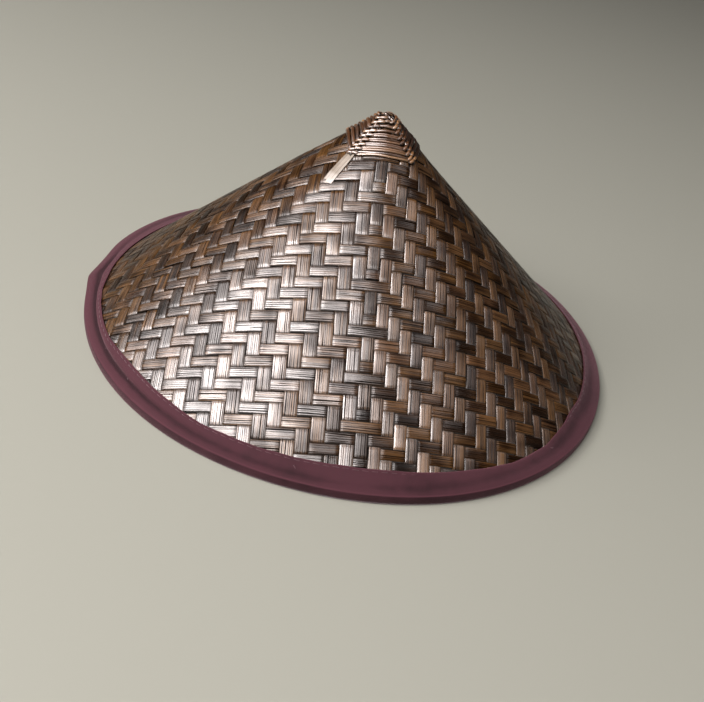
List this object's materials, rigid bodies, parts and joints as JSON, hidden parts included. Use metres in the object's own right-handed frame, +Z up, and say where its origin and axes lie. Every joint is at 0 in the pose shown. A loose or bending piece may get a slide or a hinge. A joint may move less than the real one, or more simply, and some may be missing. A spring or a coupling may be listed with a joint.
{
  "type": "conical hat",
  "caption": "Conical sun hat of woven bamboo splints with a cloth-bound brim, a rattan-wrapped tip, a head ring inside and a chin strap.",
  "frame": {"origin": "centre of the plane the brim rests on, on the cone's axis", "axes": "+Z up along the cone's axis to the tip, -Y the front, where the front mat seam runs down, +X to the right seen from the front"},
  "size_m": [0.4199, 0.42, 0.1841],
  "materials": {
    "bamboo": "dark brown stained bamboo splints, gloss varnish",
    "cane": "split bamboo and cane, clear varnish",
    "binding_cloth": "maroon cotton tape, matt with a faint sheen",
    "binding_thread": "maroon sewing thread",
    "rattan": "brown stained split rattan, satin varnish",
    "ring_bamboo": "natural split bamboo, plaited",
    "lashing_cord": "waxed brown cord",
    "sweatband_cotton": "maroon cotton tape, matt",
    "ring_wire": "aged brass wire",
    "strap_cord": "maroon braided cotton cord",
    "bead_wood": "turned dark wood, oiled"
  },
  "bodies": {
    "hat": {"woven_shell": "bamboo", "rim_hoop_outer": "cane", "rim_hoop_inner": "cane", "brim_binding": "binding_cloth", "binding_stitches": "binding_thread", "tip_rib_front_right": "rattan", "tip_rib_rear_right": "rattan", "tip_rib_rear_left": "rattan", "tip_rib_front_left": "rattan", "tip_wrap_right": "rattan", "tip_wrap_rear": "rattan", "tip_wrap_left": "rattan", "tip_wrap_front": "rattan", "tip_coil": "rattan", "head_ring_band": "ring_bamboo", "head_ring_lower_hoop": "cane", "head_ring_upper_hoop": "cane", "head_ring_lashings": "lashing_cord", "sweatband": "sweatband_cotton", "strap_ring_left": "ring_wire", "strap_ring_right": "ring_wire"},
    "chin_strap": {"chin_cord": "strap_cord", "cord_end_wrap": "binding_thread"},
    "bead": {"cord_bead": "bead_wood"}
  },
  "joints": [
    {"name": "chin_strap_swing", "type": "hinge", "parent": "hat", "child": "chin_strap", "pos_m": [0, 0, 0.057], "axis": [-1, 0, 0], "range_deg": [0, 148]},
    {"name": "bead_slide", "type": "slide", "parent": "chin_strap", "child": "bead", "axis": [0, 0.9613, -0.2756], "range_m": [0, 0.028]}
  ]
}
